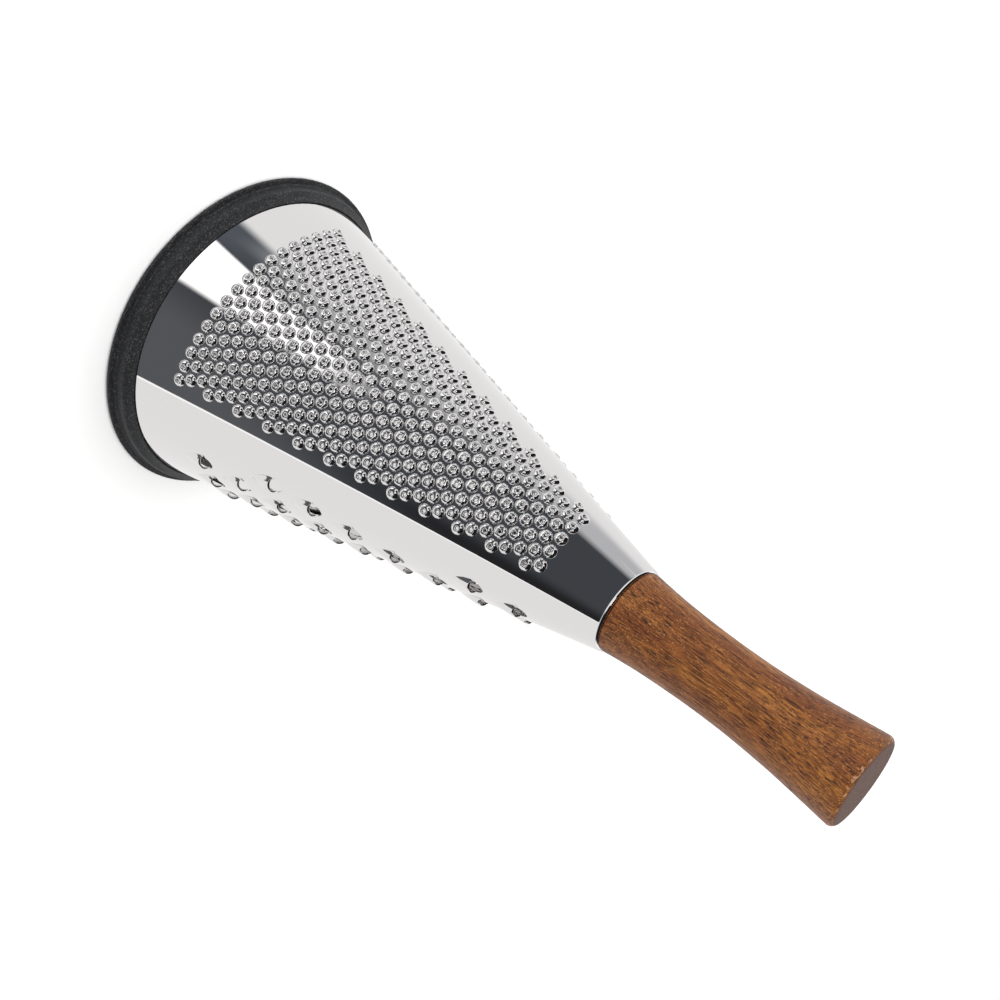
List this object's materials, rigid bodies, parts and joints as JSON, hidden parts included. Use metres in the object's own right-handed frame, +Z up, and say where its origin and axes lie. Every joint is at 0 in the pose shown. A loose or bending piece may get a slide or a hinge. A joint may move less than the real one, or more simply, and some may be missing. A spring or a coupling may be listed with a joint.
{
  "type": "conical hand grater",
  "caption": "Conical hand grater: polished steel cone punched with fine, coarse and extra-fine zones, black rubber foot ring and turned wooden handle.",
  "frame": {"origin": "middle of the foot ring's flat underside, where the grater stands", "axes": "+Z up the cone's axis from the foot ring to the handle's end; -Y is the middle of the fine zone; the coarse zone is 121 degrees from it towards +X, counted counter-clockwise from above"},
  "size_m": [0.1238, 0.1238, 0.2685],
  "materials": {
    "polished_steel": "mirror-polished stainless steel sheet, teeth punched outwards",
    "black_rubber": "matt moulded black rubber with a fine grain on its top",
    "turned_wood": "turned brown hardwood, oiled, long dark pores along the grain",
    "plain_steel": "plain satin stainless steel fastenings"
  },
  "bodies": {
    "root": {"grater_cone": "polished_steel", "foot_ring": "black_rubber", "handle": "turned_wood", "neck_disc": "plain_steel", "washer": "plain_steel", "handle_screw": "plain_steel"}
  },
  "joints": []
}
